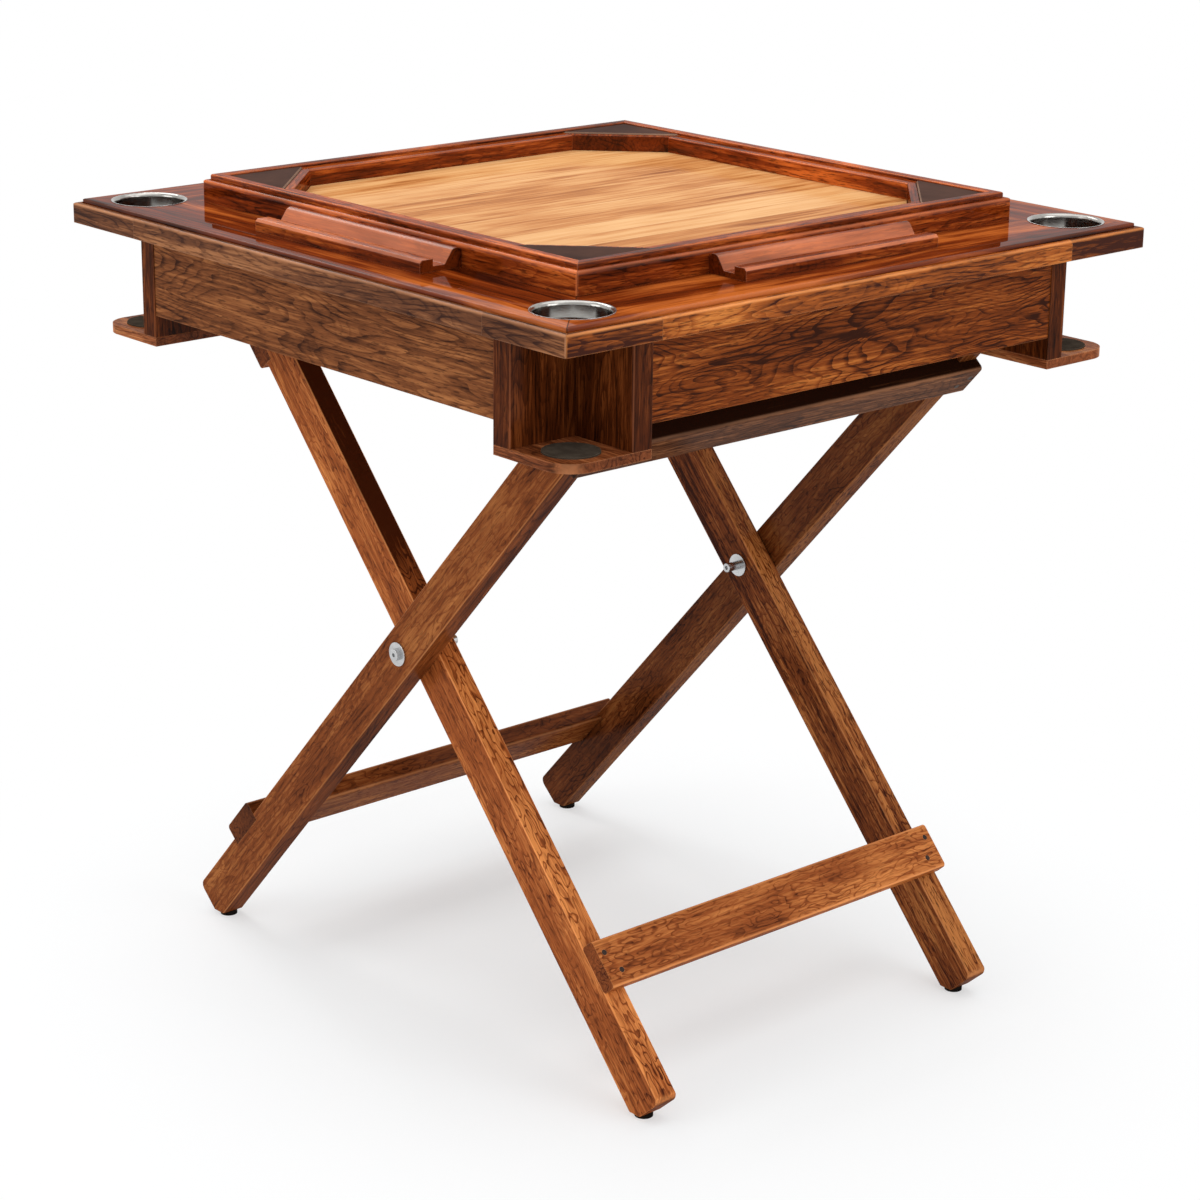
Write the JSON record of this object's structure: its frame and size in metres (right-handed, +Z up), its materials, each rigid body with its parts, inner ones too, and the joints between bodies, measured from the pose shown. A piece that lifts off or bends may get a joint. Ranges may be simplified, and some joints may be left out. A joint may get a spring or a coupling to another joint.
{
  "type": "domino table",
  "caption": "Square wooden table with a scissor folding stand, a raised playing well with tile racks round it, and corner drink boxes under ringed cup holes.",
  "frame": {"origin": "on the floor, under the centre of the square top", "axes": "+Z up; -Y is the front side; +X is the side near which the outer leg frame is hinged, and the scissor's pivot axis lies along Y"},
  "size_m": [0.75, 0.75, 0.8205],
  "materials": {
    "red_wood": "red-brown stained wood under a mirror-gloss clear lacquer",
    "brown_wood": "orange-brown stained figured wood, glossy lacquer",
    "leg_wood": "dark-streaked brown hardwood, satin lacquer",
    "grey_brown_wood": "greyish-brown hardwood, satin lacquer",
    "honey_wood": "honey-coloured slatted wood, satin lacquer",
    "dark_plate": "dark brown polished plate with a bevelled edge",
    "steel": "bright zinc-plated and stainless steel",
    "rubber": "matte black rubber"
  },
  "bodies": {
    "tabletop": {"deck_front": "red_wood", "deck_right": "red_wood", "deck_back": "red_wood", "deck_left": "red_wood", "rim_front": "brown_wood", "rim_right": "brown_wood", "rim_back": "brown_wood", "rim_left": "brown_wood", "apron_front": "brown_wood", "apron_right": "brown_wood", "apron_back": "brown_wood", "apron_left": "brown_wood", "box_side_front_right": "brown_wood", "box_side_back_right": "brown_wood", "box_side_back_left": "brown_wood", "box_side_front_left": "brown_wood", "box_end_front_right": "brown_wood", "box_end_back_right": "brown_wood", "box_end_back_left": "brown_wood", "box_end_front_left": "brown_wood", "shelf_front_right": "brown_wood", "shelf_back_right": "brown_wood", "shelf_back_left": "brown_wood", "shelf_front_left": "brown_wood", "cup_rings": "steel", "shelf_pads": "rubber", "frame_front": "red_wood", "frame_right": "red_wood", "frame_back": "red_wood", "frame_left": "red_wood", "lining_front": "red_wood", "lining_right": "red_wood", "lining_back": "red_wood", "lining_left": "red_wood", "corner_blocks": "red_wood", "corner_plates": "dark_plate", "playing_board": "honey_wood", "rack_front": "red_wood", "rack_right": "red_wood", "rack_back": "red_wood", "rack_left": "red_wood", "bearer_front": "brown_wood", "bearer_back": "brown_wood", "hinge_screws": "steel", "hinge_spacers": "steel"},
    "outer_legs": {"outer_leg_front": "leg_wood", "outer_leg_back": "leg_wood", "outer_top_rail": "grey_brown_wood", "outer_stretcher": "leg_wood", "outer_feet": "rubber", "outer_screws": "steel", "pivot_bolts": "steel", "pivot_washers": "steel", "barrel_nuts": "steel"},
    "inner_legs": {"inner_leg_front": "leg_wood", "inner_leg_back": "leg_wood", "inner_top_rail": "leg_wood", "inner_stretcher": "leg_wood", "inner_feet": "rubber", "inner_screws": "steel"}
  },
  "joints": [
    {"name": "leg_fold", "type": "hinge", "parent": "tabletop", "child": "outer_legs", "pos_m": [0.3007, 0, 0.7237], "axis": [0, -1, 0], "range_deg": [0, 40]},
    {"name": "scissor", "type": "hinge", "parent": "outer_legs", "child": "inner_legs", "pos_m": [-0.005, 0, 0.3855], "axis": [0, -1, 0], "range_deg": [-80, 0]}
  ],
  "couplings": [
    {"joint": "scissor", "follows": "leg_fold", "ratio": -2}
  ]
}
